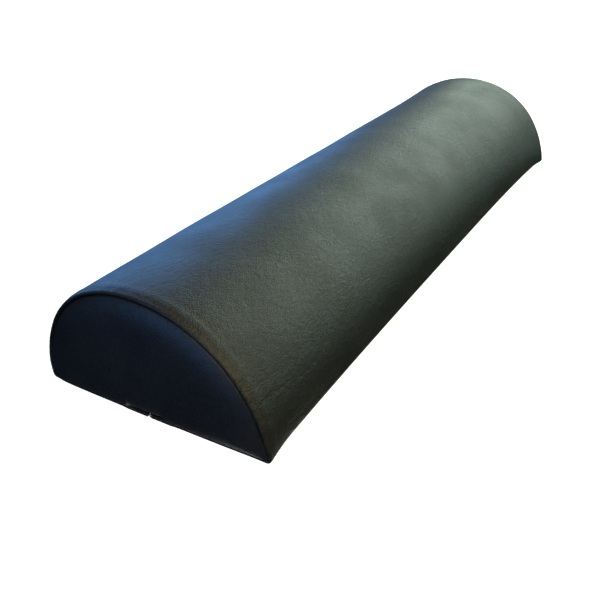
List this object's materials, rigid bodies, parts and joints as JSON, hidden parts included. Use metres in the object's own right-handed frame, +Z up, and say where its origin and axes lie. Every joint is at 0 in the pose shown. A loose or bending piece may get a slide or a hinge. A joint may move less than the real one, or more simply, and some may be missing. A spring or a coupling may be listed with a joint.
{
  "type": "half-round massage bolster",
  "caption": "Half-round massage bolster: a firm foam core in a sewn leatherette cover with a flat base, D-shaped end panels and a lengthwise zip in the base.",
  "frame": {"origin": "middle of the footprint, on the surface that the bolster rests on", "axes": "+X along the bolster to the end where the zip closes, +Y across it, +Z up from the flat base to the crown"},
  "size_m": [0.66, 0.211, 0.104],
  "materials": {
    "leatherette": "black coated fabric, satin, fine leather grain",
    "foam": "open-cell polyurethane foam, matt",
    "wadding": "white polyester wadding, matt",
    "zip_tape": "black woven polyester tape",
    "zip_coil": "black nylon coil, slightly glossy",
    "thread": "black bonded polyester thread",
    "slider_metal": "die-cast zinc with a dark plated finish"
  },
  "bodies": {
    "cover": {"foam_core": "foam", "core_wadding": "wadding", "cover_body": "leatherette", "end_panel_front": "leatherette", "end_panel_rear": "leatherette", "end_seam_thread_front": "thread", "end_seam_thread_rear": "thread", "zip_tape_left": "zip_tape", "zip_tape_right": "zip_tape", "zip_coil_left": "zip_coil", "zip_coil_right": "zip_coil", "zip_stitching_left": "thread", "zip_stitching_right": "thread"},
    "slider": {"zip_slider": "slider_metal"},
    "pull": {"zip_pull": "slider_metal"}
  },
  "joints": [
    {"name": "zip_slide", "type": "slide", "parent": "cover", "child": "slider", "axis": [-1, 0, 0], "range_m": [0, 0.58]},
    {"name": "pull_hinge", "type": "hinge", "parent": "slider", "child": "pull", "pos_m": [0.3028, 0, 0.00235], "axis": [0, -1, 0], "range_deg": [0, 170]}
  ]
}
